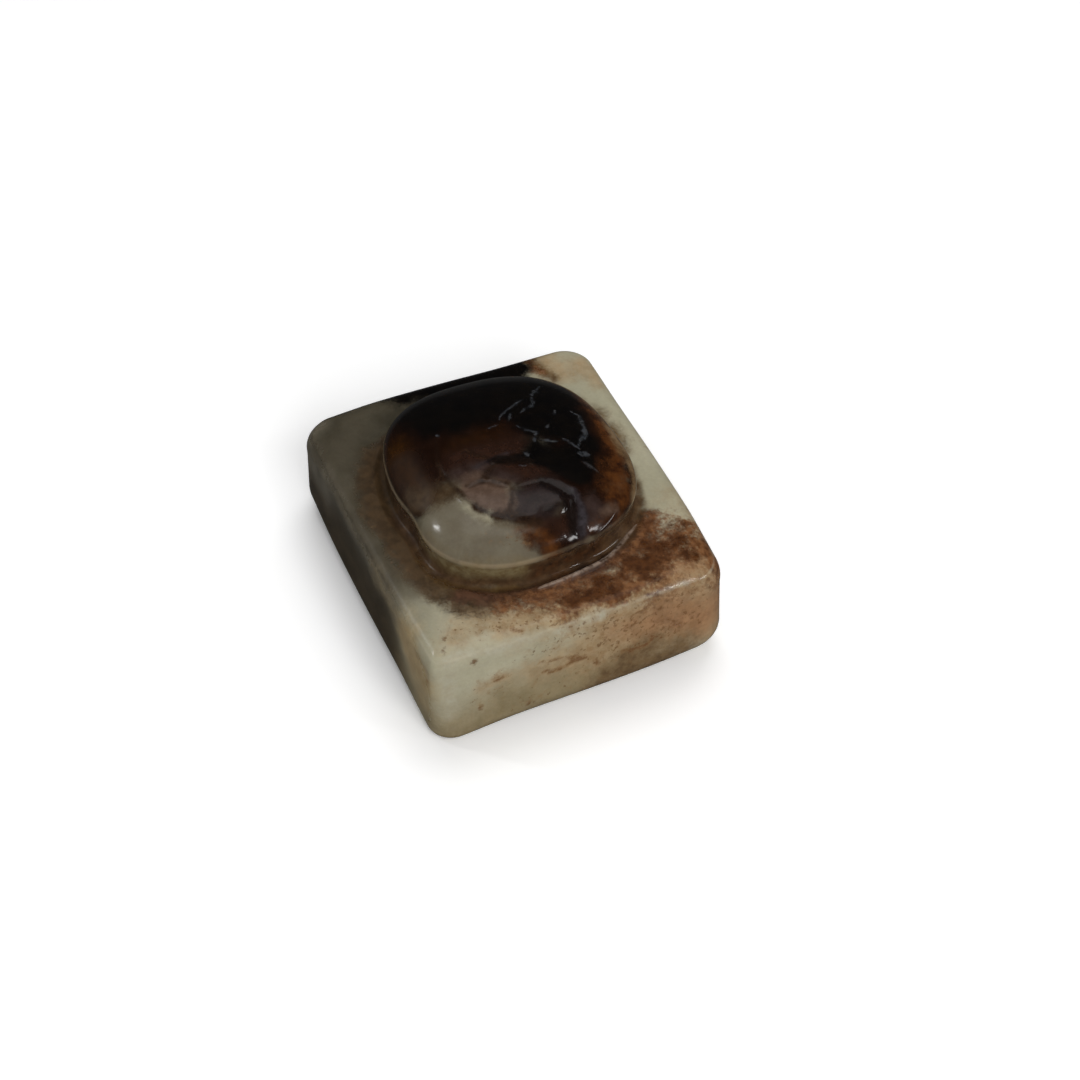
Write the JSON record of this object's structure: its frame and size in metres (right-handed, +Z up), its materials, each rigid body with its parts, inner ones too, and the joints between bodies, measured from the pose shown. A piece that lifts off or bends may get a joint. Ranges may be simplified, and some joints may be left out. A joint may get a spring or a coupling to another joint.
{
  "type": "seal stamp",
  "caption": "Carved stone hand seal: a rounded rectangular tablet with a low domed tortoise-shell knob in a shallow channel and a key-fret cut into its seal face.",
  "frame": {"origin": "middle of the seal face, on the surface that the seal stands on", "axes": "+Z up through the knob, +Y along the tablet's longer side towards its back, +X to the right along its front edge"},
  "size_m": [0.0408, 0.0484, 0.0227],
  "materials": {
    "jade": "polished",
    "vermilion_paste": "matte"
  },
  "bodies": {
    "root": {"seal_stone": "jade", "seal_paste": "vermilion_paste"}
  },
  "joints": []
}
